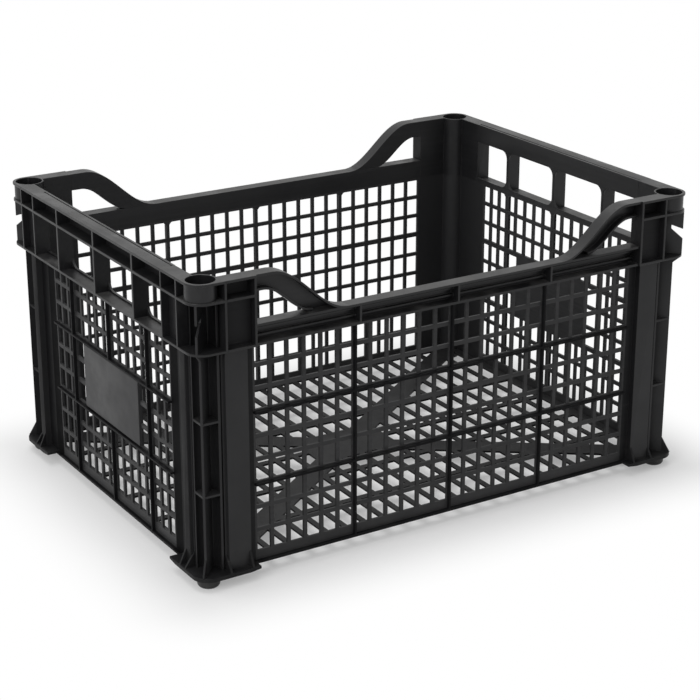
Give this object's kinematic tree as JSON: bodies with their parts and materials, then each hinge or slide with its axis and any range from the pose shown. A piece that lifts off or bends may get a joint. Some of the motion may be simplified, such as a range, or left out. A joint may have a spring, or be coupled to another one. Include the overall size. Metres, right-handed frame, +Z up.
{
  "type": "grape harvest tub",
  "caption": "Open ventilated plastic tub for picked grapes, with lattice walls, slotted floor, swept hand holds, windowed ends, bare label plates, and corner sockets and feet for stacking.",
  "frame": {"origin": "centre of the footprint, on the ground under the feet", "axes": "+X along the long walls, +Y across to the back long wall, +Z up"},
  "size_m": [0.55, 0.4, 0.29],
  "materials": {
    "wall_plastic": "satin moulded",
    "frame_plastic": "satin moulded",
    "plate_plastic": "smooth moulded"
  },
  "bodies": {
    "root": {"floor_grid": "wall_plastic", "front_lattice": "wall_plastic", "back_lattice": "wall_plastic", "left_lattice": "wall_plastic", "right_lattice": "wall_plastic", "front_rail": "frame_plastic", "back_rail": "frame_plastic", "handle_front_left": "frame_plastic", "handle_front_right": "frame_plastic", "handle_back_left": "frame_plastic", "handle_back_right": "frame_plastic", "shoulder_front_left": "frame_plastic", "shoulder_front_right": "frame_plastic", "shoulder_back_left": "frame_plastic", "shoulder_back_right": "frame_plastic", "end_shoulder_front_left": "frame_plastic", "end_shoulder_front_right": "frame_plastic", "end_shoulder_back_left": "frame_plastic", "end_shoulder_back_right": "frame_plastic", "left_rim": "frame_plastic", "right_rim": "frame_plastic", "left_sill": "frame_plastic", "right_sill": "frame_plastic", "left_window_posts": "frame_plastic", "right_window_posts": "frame_plastic", "left_plate": "plate_plastic", "right_plate": "plate_plastic", "socket_front_left": "frame_plastic", "socket_front_right": "frame_plastic", "socket_back_left": "frame_plastic", "socket_back_right": "frame_plastic", "collar_front_left": "frame_plastic", "collar_front_right": "frame_plastic", "collar_back_left": "frame_plastic", "collar_back_right": "frame_plastic", "post_front_left": "wall_plastic", "post_front_right": "wall_plastic", "post_back_left": "wall_plastic", "post_back_right": "wall_plastic", "base_front_left": "frame_plastic", "base_front_right": "frame_plastic", "base_back_left": "frame_plastic", "base_back_right": "frame_plastic", "foot_front_left": "frame_plastic", "foot_front_right": "frame_plastic", "foot_back_left": "frame_plastic", "foot_back_right": "frame_plastic"}
  },
  "joints": []
}
